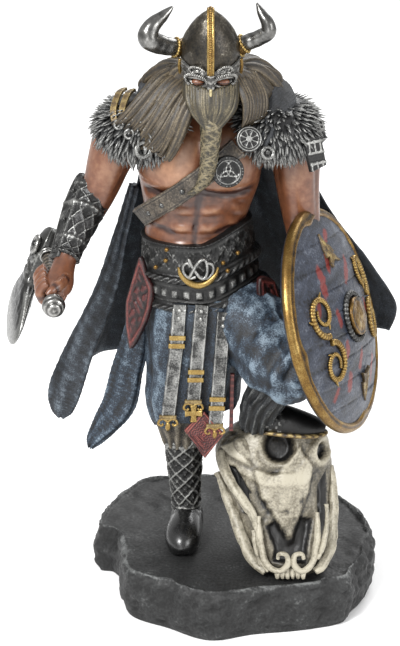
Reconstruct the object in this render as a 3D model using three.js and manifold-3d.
// A viking warrior figurine in painted cast resin, in millimetres, +Z up, front towards -Y.
// The origin is the middle of the rock base's underside.
import * as THREE from 'three';
import { mergeVertices } from 'three/addons/utils/BufferGeometryUtils.js';
import Module from 'manifold-3d';

const wasm = await Module();
wasm.setup();

const vec = (x, y, z) => new THREE.Vector3(x, y, z);

// Driving dimensions
const BASE_TOP = 22;
const GAP = 0.3;
const STANDS_AT = BASE_TOP + GAP;
const SKULL_TOP = 75;
const BELT_LOW = 128;
const BELT_HIGH = 157;
const SHIELD_RADIUS = 45.5;
const SHIELD_DOME = 9;
const SHIELD_THICK = 3.4;
const SHIELD_CENTRE = vec(40.6, -15, 124);
const SHIELD_FACES = vec(0.895, -0.3315, 0.298).normalize();
const HEAD_CENTRE = vec(-8.5, -13, 231.5);
const HEAD_PITCH = THREE.MathUtils.degToRad(20);
const HAFT_FRONT = vec(-69, -39, 139.5);
const HAFT_BACK = vec(-74.8, 7, 147.6);
const HAFT_RADIUS = 2.2;
const CARVING_TOLERANCE = 0.12;

const UP = vec(0, 0, 1);
const TO_FRONT = vec(0, -1, 0);
const TAU = Math.PI * 2;

// Shape tools

// A closed body from positions and triangles, turned so that its faces point out.
function closedBody(points, triangles) {
  let volume = 0;
  for (const [a, b, c] of triangles) {
    volume += points[a].dot(vec(0, 0, 0).crossVectors(points[b], points[c]));
  }
  const order = volume < 0 ? [0, 2, 1] : [0, 1, 2];
  const geometry = new THREE.BufferGeometry();
  geometry.setAttribute('position', new THREE.Float32BufferAttribute(points.flatMap((p) => p.toArray()), 3));
  geometry.setIndex(triangles.flatMap((t) => order.map((k) => t[k])));
  return geometry;
}

// Rings of equal length joined side by side, with a fan over each end.
function loft(rings) {
  const count = rings[0].length;
  const points = rings.flat();
  const triangles = [];
  for (let r = 0; r < rings.length - 1; r++) {
    for (let i = 0; i < count; i++) {
      const a = r * count + i;
      const b = r * count + ((i + 1) % count);
      triangles.push([a, b, b + count], [a, b + count, a + count]);
    }
  }
  for (const [ring, first] of [[0, true], [rings.length - 1, false]]) {
    const middle = vec(0, 0, 0);
    rings[ring].forEach((p) => middle.addScaledVector(p, 1 / count));
    const hub = points.push(middle) - 1;
    for (let i = 0; i < count; i++) {
      const a = ring * count + i;
      const b = ring * count + ((i + 1) % count);
      triangles.push(first ? [hub, b, a] : [hub, a, b]);
    }
  }
  return closedBody(points, triangles);
}

// A smooth curve through stations, each a list of numbers, at t from 0 to 1.
function between(stations, t) {
  const last = stations.length - 1;
  const s = THREE.MathUtils.clamp(t, 0, 1) * last;
  const i = Math.min(Math.floor(s), last - 1);
  const f = s - i;
  const a = stations[Math.max(i - 1, 0)];
  const b = stations[i];
  const c = stations[i + 1];
  const d = stations[Math.min(i + 2, last)];
  return b.map((value, k) => {
    const slope = c[k] - a[k];
    const bend = 2 * a[k] - 5 * value + 4 * c[k] - d[k];
    const cubic = 3 * value - a[k] - 3 * c[k] + d[k];
    return value + 0.5 * f * (slope + f * (bend + f * cubic));
  });
}

// A limb: oval sections along a curve. A station is [x, y, z, half width, half depth].
// Angle 0 is the side, a quarter turn is the front; swell(angle, t) scales a point's distance.
function limb(stations, rings, sides, front = TO_FRONT, swell = () => 1) {
  const middle = (t) => vec(...between(stations, t).slice(0, 3));
  const sections = [];
  for (let r = 0; r < rings; r++) {
    const t = r / (rings - 1);
    const [x, y, z, wide, deep] = between(stations, t);
    const along = middle(t + 0.02).sub(middle(t - 0.02)).normalize();
    const side = along.clone().cross(front).normalize();
    const fore = side.clone().cross(along);
    const section = [];
    for (let i = 0; i < sides; i++) {
      const angle = (i / sides) * TAU;
      const size = swell(angle, t);
      section.push(vec(x, y, z)
        .addScaledVector(side, wide * size * Math.cos(angle))
        .addScaledVector(fore, deep * size * Math.sin(angle)));
    }
    sections.push(section);
  }
  return loft(sections);
}

// A strap: a flat bar of the given width and thickness along stations [x, y, z].
function strap(stations, width, thick, rings, front = TO_FRONT) {
  const half = stations.map((s) => [...s, width / Math.SQRT2, thick / Math.SQRT2]);
  const corner = (angle) => angle + TAU / 8;
  const middle = (t) => vec(...between(stations, t));
  const sections = [];
  for (let r = 0; r < rings; r++) {
    const t = r / (rings - 1);
    const [x, y, z, wide, deep] = between(half, t);
    const along = middle(t + 0.02).sub(middle(t - 0.02)).normalize();
    const side = along.clone().cross(front).normalize();
    const fore = side.clone().cross(along);
    sections.push([0, 1, 2, 3].map((i) => vec(x, y, z)
      .addScaledVector(side, wide * Math.cos(corner(i * TAU / 4)))
      .addScaledVector(fore, deep * Math.sin(corner(i * TAU / 4)))));
  }
  return loft(sections);
}

// Cloth: surface(u, v) is its middle, and half of thick lies on each side of it.
function cloth(columns, rows, thick, surface) {
  const step = 0.01;
  const grid = [];
  for (let j = 0; j <= rows; j++) {
    for (let i = 0; i <= columns; i++) {
      const [u, v] = [i / columns, j / rows];
      const across = surface(u + step, v).sub(surface(u - step, v));
      const down = surface(u, v + step).sub(surface(u, v - step));
      const out = across.cross(down).normalize().multiplyScalar(thick / 2);
      const middle = surface(u, v);
      grid.push([middle.clone().add(out), middle.clone().sub(out)]);
    }
  }
  const across = columns + 1;
  const at = (i, j, face) => (j * across + i) * 2 + face;
  const triangles = [];
  const quad = (a, b, c, d) => triangles.push([a, b, c], [a, c, d]);
  for (let j = 0; j < rows; j++) {
    for (let i = 0; i < columns; i++) {
      quad(at(i, j, 0), at(i + 1, j, 0), at(i + 1, j + 1, 0), at(i, j + 1, 0));
      quad(at(i, j, 1), at(i, j + 1, 1), at(i + 1, j + 1, 1), at(i + 1, j, 1));
    }
  }
  for (let i = 0; i < columns; i++) {
    quad(at(i, 0, 1), at(i + 1, 0, 1), at(i + 1, 0, 0), at(i, 0, 0));
    quad(at(i, rows, 0), at(i + 1, rows, 0), at(i + 1, rows, 1), at(i, rows, 1));
  }
  for (let j = 0; j < rows; j++) {
    quad(at(0, j, 0), at(0, j + 1, 0), at(0, j + 1, 1), at(0, j, 1));
    quad(at(columns, j, 1), at(columns, j + 1, 1), at(columns, j + 1, 0), at(columns, j, 0));
  }
  return closedBody(grid.flat(), triangles);
}

// A flat plate: an outline of [x, y] corners in the plane across `faces`, thick both ways.
function plate(outline, thick, centre, faces) {
  const shape = new THREE.Shape(outline.map(([x, y]) => new THREE.Vector2(x, y)));
  const body = new THREE.ExtrudeGeometry(shape, { depth: thick, bevelEnabled: false });
  body.translate(0, 0, -thick / 2);
  const out = faces.clone().normalize();
  const right = UP.clone().cross(out).normalize();
  const top = out.clone().cross(right);
  body.applyMatrix4(new THREE.Matrix4().makeBasis(right, top, out).setPosition(centre));
  return body;
}

// The outline of a round plate.
const disc = (radius) => Array.from({ length: 10 }, (_, i) => [
  radius * Math.cos(i * TAU / 10), radius * Math.sin(i * TAU / 10)]);

// A ball squashed to three half sizes, with an optional swell(angle, height) on its distance.
function ball(centre, sizes, sides, rings, swell = () => 1) {
  const sections = [];
  for (let r = 1; r < rings; r++) {
    const tilt = (r / rings) * Math.PI;
    const section = [];
    for (let i = 0; i < sides; i++) {
      const angle = (i / sides) * TAU;
      const size = swell(angle, Math.cos(tilt));
      section.push(vec(
        centre.x + sizes[0] * size * Math.sin(tilt) * Math.cos(angle),
        centre.y + sizes[1] * size * Math.sin(tilt) * Math.sin(angle),
        centre.z + sizes[2] * size * Math.cos(tilt)));
    }
    sections.push(section);
  }
  return loft(sections);
}

function toSolid(geometry) {
  const bare = geometry.clone();
  bare.deleteAttribute('normal');
  bare.deleteAttribute('uv');
  const merged = mergeVertices(bare, 1e-4);
  return new wasm.Manifold(new wasm.Mesh({
    numProp: 3,
    vertProperties: new Float32Array(merged.getAttribute('position').array),
    triVerts: new Uint32Array(merged.index.array),
  }));
}

function toGeometry(solid) {
  const mesh = solid.getMesh();
  const geometry = new THREE.BufferGeometry();
  geometry.setAttribute('position', new THREE.Float32BufferAttribute(mesh.vertProperties, 3));
  geometry.setIndex(new THREE.Uint32BufferAttribute(mesh.triVerts, 1));
  return geometry;
}

const fused = (geometries) => geometries.map(toSolid).reduce((all, next) => all.add(next));

// Rock base: a slab with rugged walls, flat below and flat where the figure stands.
function rockBase() {
  const outline = [
    [-9, -56], [10, -51], [28, -48], [46, -42], [51, -33], [57, -22], [61, -3], [60, 13], [55, 26], [44, 41],
    [25, 51], [0, 56], [-25, 55], [-38, 53], [-46, 42], [-53, 28], [-57.5, 7], [-51, 3], [-46, -9],
    [-43, -34], [-26, -46],
  ];
  const walls = [[0, 0.985], [8, 1.0], [17, 0.99], [BASE_TOP, 0.955]];
  const edge = outline.length * 2;
  const rings = walls.map(([z, grow]) => {
    const ring = [];
    for (let i = 0; i < edge; i++) {
      const t = i / edge;
      const closed = [...outline.slice(-2), ...outline, ...outline.slice(0, 2)];
      const [x, y] = between(closed, (t * outline.length + 2) / (closed.length - 1));
      const rugged = 1 + (z > 0 ? 0.014 * Math.sin(i * 2.7 + z * 0.9) : 0);
      ring.push(vec(x * grow * rugged, y * grow * rugged, z));
    }
    return ring;
  });
  return toSolid(loft(rings));
}

// Beast's skull: level slices from the snout on the rock to the brow under the boot.
function beastSkull() {
  const slices = [
    // height, left, right, front, back
    [STANDS_AT, 9, 40, -41, 3],
    [28, 6.5, 41.5, -42.5, 5],
    [36, 3.5, 42, -39, 7],
    [45, 0, 42, -34, 9],
    [54, -3.5, 42, -29, 10],
    [62, -6, 41.5, -24.5, 9],
    [69, -3, 40, -20.5, 7],
    [SKULL_TOP - GAP, 4, 36.5, -16.5, 4],
  ];
  const sides = 16;
  const square = (value) => Math.sign(value) * Math.abs(value) ** 0.75;
  const rings = slices.map(([z, left, right, front, back]) => {
    const ring = [];
    for (let i = 0; i < sides; i++) {
      const angle = (i / sides) * TAU;
      const flank = 1 - 0.12 * Math.sin(angle) ** 2;
      const x = (left + right) / 2 + (right - left) / 2 * square(Math.cos(angle)) * flank;
      const y = (front + back) / 2 - (back - front) / 2 * square(Math.sin(angle));
      ring.push(vec(x, y, z));
    }
    return ring;
  });
  const hollows = fused([
    // two eye sockets, the nose cavity and the gap behind the cheek arch
    ball(vec(19.6, -21.5, 67.5), [7, 8, 6], 10, 5),
    ball(vec(37.5, -24, 64), [3.4, 6, 5], 8, 5),
    ball(vec(23.6, -46, 36), [10.6, 9, 11], 10, 5),
    ball(vec(1, -27, 53), [3, 8, 8], 8, 5),
  ]);
  const noseplate = plate([[-10, 8], [10.5, 11], [3, -5.5]], 3, vec(20.5, -35.6, 43.2), vec(0, -0.9, 0.43));
  const ridges = fused([
    // cheek arch, jaw on the left, jaw on the right
    limb([[-4, -17, 64, 2.6, 2.6], [0.5, -26, 57, 2.4, 2.6], [6.5, -32, 50, 2.4, 2.4],
      [10, -36, 43, 1.4, 1.4]], 4, 5),
    limb([[-4, -13, 52, 2, 2], [0, -22, 45, 2.6, 2.6], [5, -32, 34, 3, 2.8], [12, -41, 26, 2, 2]], 5, 5),
    limb([[42, -15, 56, 1.4, 2], [42.2, -24, 44, 2.2, 2.4], [41, -33, 33, 2.4, 2.4],
      [36, -41, 26, 1.8, 1.8]], 5, 5),
    // horn stump on the brow, and the block of front teeth
    limb([[8, -20, 63, 4, 4], [3, -17.5, 72, 2.6, 2.6]], 2, 6),
    ball(vec(24.2, -43.5, 26), [6.4, 2.6, 3.6], 8, 5),
    // rims round the nose cavity, which curl together over the teeth
    limb([[11.5, -35, 46, 1.4, 1.6], [12.4, -41, 34, 1.7, 1.8], [18, -44.6, 27.5, 1.6, 1.6],
      [23, -45.2, 30, 1.4, 1.4], [20.6, -45, 34.5, 1, 1]], 7, 4),
    limb([[34.5, -34, 48, 1.4, 1.6], [34.4, -41, 35, 1.7, 1.8], [29.5, -44.6, 27.5, 1.6, 1.6],
      [25, -45.2, 30, 1.4, 1.4], [27, -45, 34.5, 1, 1]], 7, 4),
  ]);
  return toSolid(loft(rings)).subtract(hollows).add(toSolid(noseplate)).add(ridges)
    .trimByPlane([0, 0, 1], STANDS_AT)
    .trimByPlane([0, 0, -1], -(SKULL_TOP - GAP));
}

// Shield: round and domed, with a raised rim, four lobes on the rim, a boss and raised scrolls.
const SHIELD_RIGHT = UP.clone().cross(SHIELD_FACES).normalize();
const SHIELD_UP = SHIELD_FACES.clone().cross(SHIELD_RIGHT);
const domeHeight = (radius) => SHIELD_DOME * (1 - (radius / SHIELD_RADIUS) ** 2);
const onShield = (x, y, lift) => SHIELD_CENTRE.clone()
  .addScaledVector(SHIELD_RIGHT, x)
  .addScaledVector(SHIELD_UP, y)
  .addScaledVector(SHIELD_FACES, domeHeight(Math.hypot(x, y)) + lift);

function shieldDisc(grow = 0) {
  const rim = SHIELD_RADIUS + grow;
  const sides = 24;
  // radius as a share of the rim, and height over the dome's face
  const face = [[0.17, 2.2], [0.2, 0], [0.55, 0], [0.86, 0], [0.89, 1.7], [0.96, 1.7], [1, 0.2]];
  const back = [[0.985, -SHIELD_THICK], [0.55, -SHIELD_THICK]];
  const ring = ([share, lift], way) => {
    const points = [];
    for (let i = 0; i < sides; i++) {
      const angle = (i / sides) * TAU;
      const lobe = Math.max(0, Math.cos(angle * 4)) ** 12;
      const inward = share > 0.8 && share < 0.9 ? 1 - 0.07 * lobe : 1;
      const radius = rim * share * inward;
      points.push(onShield(radius * Math.cos(angle), radius * Math.sin(angle), lift + way * grow));
    }
    return points;
  };
  return loft([...face.map((f) => ring(f, 1)), ...back.map((b) => ring(b, -1))]);
}

// A raised scroll on the shield: a thin bar along points [x, y] of the face.
function scroll(points, thick, rings) {
  const stations = points.map(([x, y]) => [...onShield(x, y, 0.5).toArray(), thick, thick]);
  return limb(stations, rings, 4, SHIELD_FACES);
}

// Two S-shaped serpents, one on each side of the boss.
function shieldOrnaments() {
  const serpent = (side) => {
    const points = [];
    for (let k = 0; k <= 12; k++) {
      const turn = (k / 12 - 0.5) * TAU * 1.62;
      const coil = Math.sign(turn) * (1 - Math.cos(turn));
      const across = side * (25 + 6.5 * Math.sin(turn));
      points.push([across, 8.5 * coil + 2 * Math.sign(turn)]);
    }
    return scroll(points, 1.2, 11);
  };
  return [serpent(-1), serpent(1)];
}

function shield() {
  return fused([shieldDisc(), ...shieldOrnaments()]);
}

// Axe: a haft with a ball pommel, and a head whose bearded blade hangs beside the fist.
const HAFT_WAY = HAFT_FRONT.clone().sub(HAFT_BACK).normalize();
const BLADE_SIDE = HAFT_WAY.clone().cross(vec(0.43, -0.12, 0.895)).normalize();
const BLADE_UP = BLADE_SIDE.clone().cross(HAFT_WAY);

function haft(grow = 0) {
  const reach = HAFT_BACK.clone().addScaledVector(HAFT_WAY, -6);
  const radius = HAFT_RADIUS + grow;
  return limb([[...reach.toArray(), radius, radius], [...HAFT_FRONT.toArray(), radius, radius]], 2, 8, UP);
}

function axe() {
  // distance up the blade, half length along the haft, half thickness, shift along the haft
  const blade = [[7, 3, 1.8, 0], [3.5, 6, 3.8, 0], [-2, 6.6, 4.6, 0], [-13, 6.4, 3.8, 0.5], [-18, 9, 3.6, 1],
    [-23, 14, 3.6, 2], [-29, 18.5, 3.2, 3.5], [-35, 18, 2.4, 4.5], [-39, 12, 1.4, 5], [-41, 4, 0.6, 5.5]];
  const corners = [[1, 0], [0.72, 1], [-0.72, 1], [-1, 0], [-0.72, -1], [0.72, -1]];
  const rings = blade.map(([up, long, thick, shift]) => corners.map(([a, b]) => HAFT_BACK.clone()
    .addScaledVector(BLADE_UP, up)
    .addScaledVector(HAFT_WAY, long * a + shift)
    .addScaledVector(BLADE_SIDE, thick * b)));
  const boss = HAFT_BACK.clone().addScaledVector(BLADE_SIDE, 3.2).addScaledVector(HAFT_WAY, 2);
  const bossEnd = boss.clone().addScaledVector(BLADE_SIDE, 2.6);
  return fused([
    haft(),
    loft(rings),
    ball(HAFT_FRONT, [4.6, 4.6, 4.6], 10, 6),
    limb([[...boss.toArray(), 4.2, 4.2], [...bossEnd.toArray(), 3.6, 3.6]], 2, 8, UP),
  ]);
}

// Helmet horns: thick at the collar, out and forward, then up to the tip.
const HORN_LEFT = [[-17.5, -12, 234, 3.3, 3.3], [-22, -14, 235.2, 3.4, 3.4], [-27.5, -17, 237, 3.9, 3.9],
  [-31.8, -20, 240.2, 4.2, 4.2], [-30.8, -19.5, 244.4, 3.4, 3.4], [-26.5, -17, 248, 2.2, 2.2],
  [-22.8, -16, 251.4, 0.6, 0.6]];
const HORN_RIGHT = [[0.5, -12, 234, 3.3, 3.3], [4.5, -13, 236.4, 3.2, 3.2], [9.5, -15, 239, 3.2, 3.2],
  [13.2, -16.5, 241.6, 3.1, 3.1], [13, -16.5, 245, 2.6, 2.6], [10.6, -15, 249, 1.7, 1.7],
  [8.8, -14, 252.4, 0.5, 0.5]];
const COLLAR_RADIUS = 4;

function collar(stations, grow = 0) {
  const radius = COLLAR_RADIUS + grow;
  return limb(stations.slice(0, 2).map(([x, y, z]) => [x, y, z, radius, radius]), 2, 8);
}

function horn(stations) {
  return fused([limb(stations, 9, 7), collar(stations)]);
}

// Warrior: body and limbs
const TORSO = [[-11, 0, 122, 20, 17], [-12, -0.5, 138, 20, 16.5], [-15, -1, 153, 19.3, 15.3],
  [-15, -1, 161, 19.5, 15.5], [-14, -1, 170, 21.5, 17], [-13, -1, 180, 24, 18.5], [-12.5, -1, 188, 25, 19],
  [-10, 0, 198, 25, 17], [-9, 0, 206, 17, 13], [-8.5, -2, 214, 8.5, 8.5], [-8.5, -7, 224, 7, 8]];

// Chest and belly: two chest plates, a groove down the middle and the arch of the ribs.
function muscles(angle, t) {
  const height = between(TORSO, t)[2];
  const front = Math.max(0, Math.sin(angle));
  const chest = Math.exp(-(((height - 190) / 9) ** 2)) * front ** 1.5 * 0.07;
  const fold = Math.exp(-(((height - 179) / 2.5) ** 2)) * front ** 2 * 0.05;
  const groove = Math.exp(-((Math.cos(angle) / 0.1) ** 2)) * front * 0.05;
  const rows = 0.018 * front * Math.cos((height - 160) * 0.75);
  return 1 + chest - fold - groove + (height < 178 ? rows : 0);
}

function armsAndHands() {
  const rightUpper = limb([[-40, 1, 205, 8.5, 9], [-45, 1.5, 194, 9.5, 9.8], [-48.5, 2, 184, 8.2, 8.8],
    [-51.5, 2, 175.5, 7.2, 7.6], [-54.8, 1.5, 168, 6.6, 6.8], [-57, -1.5, 164, 5.5, 5.5]], 6, 9);
  const bracer = limb([[-53.8, 4.5, 173.5, 8.6, 8.6], [-56.8, 0.5, 167.5, 7.7, 7.7],
    [-60.5, -6.5, 160.5, 6.5, 6.5], [-64.3, -13.5, 153, 5.4, 5.4], [-65.6, -16, 150.5, 5.6, 5.6]], 6, 9);
  const guard = strap([[-60, 5, 176.5], [-63.4, -2, 168.5], [-67, -10.5, 158.5], [-69.4, -17, 151]],
    8.5, 3, 5, vec(-0.8, -0.5, 0.4));
  const rightHand = limb([[-65, -15, 151.5, 4.3, 4.3], [-67, -19.5, 147, 4.4, 4.6],
    [-69.6, -25, 142.5, 6.3, 6], [-70.6, -29, 139.8, 6.2, 5.8], [-70.8, -32.5, 138.5, 3.5, 3.5]], 6, 9);
  const leftUpper = limb([[22, 1, 205, 9, 9.5], [24.5, 1, 194, 10, 10.4], [25.5, 0.5, 184, 9.2, 9.8],
    [26.5, 0, 173, 8.2, 8.6], [28, 0, 162, 7.4, 7.6], [29.5, -2, 153, 6.8, 6.8]], 6, 9);
  const leftFore = limb([[28.8, 2, 160, 6, 6], [30.5, -2, 150, 6.6, 6.6], [33, -8, 139, 6, 6],
    [35.5, -13, 130, 5, 5], [37, -16, 125, 5.4, 5.4], [37.8, -19, 120, 4, 4]], 6, 9);
  return [rightUpper, bracer, guard, rightHand, leftUpper, leftFore];
}

// Both feet are ovals cut flat underneath; the raised one stands just clear of the skull.
function legsAndBoots() {
  const shaft = limb([[-18.2, 0, STANDS_AT, 6, 7.5], [-18.2, -1, 33, 5.9, 6.6], [-18.6, 0, 42, 6.2, 6.6],
    [-19, 0, 55, 7.3, 7.4], [-19.4, 0, 65, 7.8, 7.8]], 6, 10);
  const foot = limb([[-18, 9, 26.5, 4, 4.7], [-18, 4, 28.5, 6.4, 8.2], [-18.4, -6, 28, 6.8, 7.7],
    [-19.4, -14, 27.6, 7.4, 7.3], [-19.8, -20, 26.5, 6.6, 6.2], [-20, -24.2, 25, 3.8, 4.2]], 7, 9, UP);
  const cuff = limb([[-19.2, 0, 62, 8.4, 8.4], [-20.2, -0.5, 70, 10, 10], [-21, -0.5, 78, 12, 11.5],
    [-21.4, -0.5, 89, 12.8, 12.5]], 3, 12, TO_FRONT, (angle) => 1 + 0.04 * Math.sin(angle * 6));
  const shin = limb([[18.5, -27, 106, 9, 9], [15.5, -22, 97, 8.4, 8.5], [12.6, -17, 88, 8.2, 7.8],
    [11.2, -13, 78, 7, 7]], 4, 10, TO_FRONT, (angle) => 1 + 0.05 * Math.sin(angle * 6));
  const raisedFoot = limb([[8, -9, 78.5, 4, 4.5], [12.5, -11, 79.5, 6.6, 6], [20, -14, 79.2, 7, 6],
    [28, -16, 78.2, 6.6, 5], [34.5, -17, 77.2, 5, 3.6], [38, -17.5, 76.2, 2.4, 2]], 6, 8, UP);
  const raisedLeg = fused([shin, raisedFoot]).trimByPlane([0, 0, 1], SKULL_TOP + GAP);
  return [shaft, foot, cuff, toGeometry(raisedLeg)];
}

// Kilt: pleats round the hips, a drape over the raised thigh, and a corner swept out to the left.
function kilt() {
  const pleats = (angle, t) => 1 + (0.012 + 0.05 * t) * Math.sin(angle * 8 + 2 * Math.sin(angle * 2));
  const skirt = limb([[-11, -1, 133, 23, 18.5], [-12, -1, 121, 23.4, 19.6], [-13.5, -1, 108, 21.8, 19.6],
    [-15, -1, 95, 19.5, 18.4], [-15.8, -1, 83.5, 18.8, 17.8]], 4, 24, TO_FRONT, pleats);
  const folds = (angle, t) => 1 + 0.045 * Math.sin(angle * 6 + t * 5) * t;
  const drape = limb([[-4, 0, 128, 15, 15], [6, -10, 121.5, 17, 16.5], [15, -22, 114, 15.5, 15.5],
    [22, -31, 109, 13, 13], [27, -37, 107, 9.5, 10], [29.5, -41, 106.5, 4, 5]], 6, 12, UP, folds);
  const seat = ball(vec(-2, 6, 118), [24, 15, 20], 9, 4);
  const corner = limb([[-35, 2, 129, 4, 2.2], [-38.5, -1, 111, 5.5, 2.2], [-42.5, -2, 96, 6.5, 2.2],
    [-45.5, -3, 83, 6.8, 2.2], [-51.5, -3, 73, 5.2, 2.1], [-56.6, -3, 65.5, 3, 1.8],
    [-58, -3, 62, 0.9, 1]], 8, 6, vec(-0.35, -1, 0.2));
  return [skirt, drape, seat, corner];
}

// Belt: a wide figured band over two rolled lower rims, lifted over the raised thigh.
function belt() {
  const profile = [[0, 22.4, 18.4], [0.02, 24.8, 20.8], [0.1, 25, 21], [0.14, 23.6, 19.6], [0.4, 23.2, 19.2],
    [0.46, 24.6, 20.6], [0.54, 22.6, 18.6], [0.96, 21.8, 17.8], [1, 18, 14]];
  const sides = 16;
  const rings = profile.map(([share, wide, deep]) => {
    const ring = [];
    for (let i = 0; i < sides; i++) {
      const angle = (i / sides) * TAU;
      const lift = 7 * THREE.MathUtils.smoothstep(Math.cos(angle), 0, 1);
      const x = -11.5 - 2.5 * share + wide * Math.cos(angle);
      ring.push(vec(x, -1 - deep * Math.sin(angle), BELT_LOW + (BELT_HIGH - BELT_LOW) * share + lift));
    }
    return ring;
  });
  const clasp = plate(disc(7.5), 3.4, vec(-12.5, -21, 145), vec(0, -1, 0.15));
  return [loft(rings), clasp];
}

// Hanging straps of the kilt, the lozenge between them and two hip plates.
function straps() {
  const bars = [
    [[-20.4, -20, 133], [-22, -22.4, 116], [-24, -23, 100], [-25.6, -23.5, 84]],
    [[-11.7, -20.6, 133], [-13, -23, 116], [-14.4, -23.6, 102], [-15.4, -24, 92]],
    [[-3, -20.6, 130], [-4, -23.2, 114], [-5.2, -24, 98], [-6.6, -25, 82]],
  ];
  const hung = bars.map((stations) => strap(stations, 5.4, 2.2, 4));
  const backing = strap([[-12, -19.6, 131], [-14, -21, 110], [-15.6, -21.6, 90], [-15.8, -21.6, 82]],
    22, 2.4, 4);
  const lozenge = plate([[0, 9.8], [8, 0.5], [0.4, -9.8], [-8, 2]], 2.2, vec(-10.7, -25.6, 79.5),
    vec(0, -1, 0.15));
  const leftHip = plate([[-1, 20], [5.5, 8], [2.6, -9], [-4.5, -19], [-6.5, 0]], 2.8, vec(-36, -9.4, 128.5),
    vec(-0.6, -0.8, 0.1));
  const rightHip = plate([[-6, 9], [2, 6], [6, -9], [0, -16], [-6, -4]], 2.6, vec(15, -12, 133),
    vec(0.7, -0.7, 0.1));
  return [...hung, backing, lozenge, leftHip, rightHip];
}

// Cape: hangs from both shoulders round the back, and flares out at both lower corners.
function cape() {
  const leftEdge = [[-33, 6, 206], [-37, 11, 176], [-42.5, 13.5, 153], [-50, 16, 126], [-59, 19, 93]];
  const rightEdge = [[17, 8, 206], [29, 14, 181], [43, 20, 155], [61, 26, 129], [70, 26, 114], [67, 25, 103]];
  return cloth(17, 4, 2.8, (u, v) => {
    const left = between(leftEdge, v);
    const right = between(rightEdge, v);
    const along = THREE.MathUtils.clamp(u, 0, 1);
    const bow = Math.max(0, Math.sin(Math.PI * along));
    const fold = Math.sin(along * TAU * 5 + 0.6) * (0.6 + 2.2 * v) * bow ** 0.5;
    const x = THREE.MathUtils.lerp(left[0], right[0], along) + 0.4 * fold;
    const y = THREE.MathUtils.lerp(left[1], right[1], along) + bow ** 0.8 * (12 + 14 * v) + fold;
    const z = THREE.MathUtils.lerp(left[2], right[2], along) - bow ** 3 * 18 * v ** 2;
    return vec(x, y, z);
  });
}

// The cape's left border, folded to the front, which hangs to a broad point below the hem.
function capeBorder() {
  return limb([[-38.5, 11, 172, 2.2, 2], [-44.6, 12.5, 150, 3, 2.2], [-51.4, 14, 124, 5, 2.4],
    [-62, 15, 99, 6.4, 2.6], [-68.6, 13.5, 82, 7.6, 2.8], [-70.4, 12.5, 73, 5.6, 2.4],
    [-71, 12, 69, 1.6, 1.2]], 8, 6, vec(-0.5, -1, 0.2));
}

// Fur mantle: a tufted pad on each shoulder joined over the back, with its ornaments.
function mantle() {
  const tufts = (angle, height) => 1 + (height < 0.3 ? 0.07 : 0.02) * (Math.round(angle * 8 / Math.PI) % 2);
  const left = ball(vec(-34, -2.5, 200.5), [20.5, 21, 13], 14, 5, tufts);
  const right = ball(vec(16.5, -2.5, 200.5), [18.5, 21, 13], 14, 5, tufts);
  const back = ball(vec(-8, 8, 200), [30, 14, 13], 10, 4);
  return [left, right, back,
    plate(disc(5), 2.6, vec(6.2, -21.5, 201.5), vec(0.05, -0.9, 0.42)),
    plate(disc(6.2), 2.4, vec(-1.8, -20.6, 188.6), vec(0.15, -0.97, 0.1)),
    plate([[-4.5, 6.5], [4, 5], [4.5, -6], [-3, -7.5]], 2.4, vec(31, -15.5, 194.5), vec(0.55, -0.75, 0.25)),
  ];
}

// Hood, hide collar, hair and beard
function hoodAndHair() {
  const hood = limb([[-29, -14, 205, 4, 4], [-31.5, -2, 211, 6.2, 6.4], [-27.5, 9, 212, 7.5, 8],
    [-17, 17, 212, 8.5, 9], [-6, 19, 211, 8.5, 9], [6, 15, 212, 8, 9], [15, 7, 212, 7, 7.5],
    [17.4, -3, 210.5, 6.6, 6.8], [15.6, -13, 205.5, 5.5, 5.5], [12.5, -20.5, 201, 1.5, 1.5]], 10, 6, UP);
  const hide = limb([[-23, -14, 214, 3, 4], [-27, -2, 216.5, 4.6, 5.2], [-22, 8, 218, 6, 6.6],
    [-8, 12, 217.5, 7, 7.6], [7, 8, 217.5, 6, 6.6], [13, -2, 216, 4.8, 5.2],
    [10, -12, 214, 4, 4.5]], 8, 6, UP);
  const locks = [
    [[-15, -13, 224, 4, 4], [-22, -18, 216, 6, 4.5], [-30, -22, 208.5, 5, 3.6], [-38.5, -22.5, 202.5, 1, 1]],
    [[-13, -18, 219, 4, 4], [-19, -23, 211, 5, 3.6], [-26, -25, 204, 4, 3], [-33, -25, 197.5, 1, 1]],
    [[-17, -8, 224, 4, 4], [-26, -14, 217, 5, 4], [-34, -18, 210, 3.5, 3], [-40, -20, 206, 1, 1]],
    [[1, -14, 223, 3.4, 3.4], [4.6, -19, 215, 3.2, 3.2], [4.4, -21.5, 207, 1, 1]],
  ];
  const beard = limb([[-8.5, -20, 222, 9, 7], [-8.3, -25, 214, 7.6, 5.8], [-8.4, -25.6, 206, 5.6, 4.4],
    [-9, -24.6, 198, 4.6, 3.6], [-9.6, -23.8, 190, 4, 3.2], [-11.2, -23, 184, 3, 2.4],
    [-15.4, -22.4, 180.6, 0.8, 0.8]], 8, 6);
  return [hood, hide, ...locks.map((stations) => limb(stations, 4, 5)), beard];
}

// Helmet: a pointed dome with a crest band, and a half mask with eye holes and a nose guard.
const HEAD_UP = vec(0, -Math.sin(HEAD_PITCH), Math.cos(HEAD_PITCH));
const HEAD_FORE = vec(0, -Math.cos(HEAD_PITCH), -Math.sin(HEAD_PITCH));
const onHead = (x, fore, up) => HEAD_CENTRE.clone()
  .addScaledVector(HEAD_FORE, fore)
  .addScaledVector(HEAD_UP, up)
  .add(vec(x, 0, 0));

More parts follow.
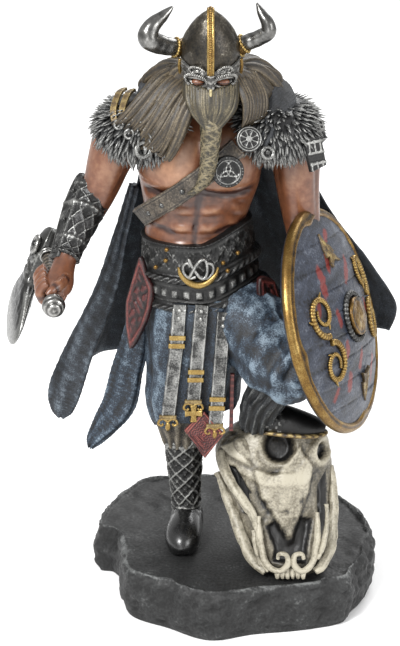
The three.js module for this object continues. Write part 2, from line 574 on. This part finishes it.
function helmet() {
  // height over the brow, half width, half length
  const levels = [[-11, 9.6, 11.2], [-6, 10.8, 12.8], [-1, 11.2, 13.4], [4, 11.2, 13.2], [9, 9.8, 11.4],
    [14, 7.2, 8.4], [18, 3.8, 4.6], [20.5, 0.8, 0.8]];
  const sides = 12;
  const rings = levels.map(([up, wide, long]) => {
    const ring = [];
    for (let i = 0; i < sides; i++) {
      const angle = (i / sides) * TAU;
      ring.push(onHead(wide * Math.cos(angle), long * Math.sin(angle), up));
    }
    return ring;
  });
  const crest = limb([[...onHead(0, 13.4, 2).toArray(), 1.6, 1], [...onHead(0, 12.4, 8).toArray(), 1.6, 1],
    [...onHead(0, 9, 14).toArray(), 1.5, 1], [...onHead(0, 0, 20.4).toArray(), 1.2, 1],
    [...onHead(0, -9, 14).toArray(), 1.5, 1], [...onHead(0, -13, 4).toArray(), 1.6, 1]], 6, 4, UP);
  const nose = limb([[...onHead(0, 12.6, 2).toArray(), 2.2, 2], [...onHead(0, 14.6, -4).toArray(), 1.7, 2],
    [...onHead(0, 15.6, -10).toArray(), 2, 1.8], [...onHead(0, 14.6, -16).toArray(), 1.3, 1]], 5, 5);
  const eyes = fused([-1, 1].map((side) => ball(onHead(side * 4.6, 13.4, -2.6), [2.9, 3, 1.6], 6, 4)));
  const shell = fused([loft(rings), nose]).subtract(eyes);
  return shell.add(toSolid(crest));
}

// Leather strap across the chest.
function baldric() {
  return strap([[-35.5, -5, 165], [-31, -14, 170.5], [-24, -18.8, 176], [-15, -20.8, 183], [-6, -20.8, 190],
    [2, -18, 197]], 7, 2.6, 6, vec(-0.25, -1, 0));
}

function warrior() {
  const body = fused([
    limb(TORSO, 9, 14, TO_FRONT, muscles),
    ...armsAndHands(),
    ...legsAndBoots(),
    ...kilt(),
    ...belt(),
    ...straps(),
    cape(),
    capeBorder(),
    ...mantle(),
    ...hoodAndHair(),
    baldric(),
  ]).add(helmet());
  const neighbours = fused([
    haft(GAP),
    collar(HORN_LEFT, GAP),
    collar(HORN_RIGHT, GAP),
    shieldDisc(GAP),
  ]);
  return body.subtract(neighbours).trimByPlane([0, 0, 1], STANDS_AT);
}

// Colours of the paint
const CHARCOAL = new THREE.MeshStandardMaterial({ color: 0x3a3b3b, roughness: 0.7, metalness: 0 });
const BONE = new THREE.MeshStandardMaterial({ color: 0x9a927f, roughness: 0.5, metalness: 0 });
const FIGURE = new THREE.MeshStandardMaterial({ color: 0x59616a, roughness: 0.6, metalness: 0 });
const SILVER = new THREE.MeshStandardMaterial({ color: 0x9b9b98, roughness: 0.35, metalness: 0.9 });
const SHIELD_BLUE = new THREE.MeshStandardMaterial({ color: 0x4a5162, roughness: 0.5, metalness: 0 });

const group = new THREE.Group();

function place(name, solid, material) {
  const mesh = new THREE.Mesh(toGeometry(solid.simplify(CARVING_TOLERANCE)), material);
  mesh.name = name;
  group.add(mesh);
}

place('rock_base', rockBase(), CHARCOAL);
place('beast_skull', beastSkull(), BONE);
place('warrior', warrior(), FIGURE);
place('horn_left', horn(HORN_LEFT), SILVER);
place('horn_right', horn(HORN_RIGHT), SILVER);
place('axe', axe(), SILVER);
place('shield', shield(), SHIELD_BLUE);

export default group;
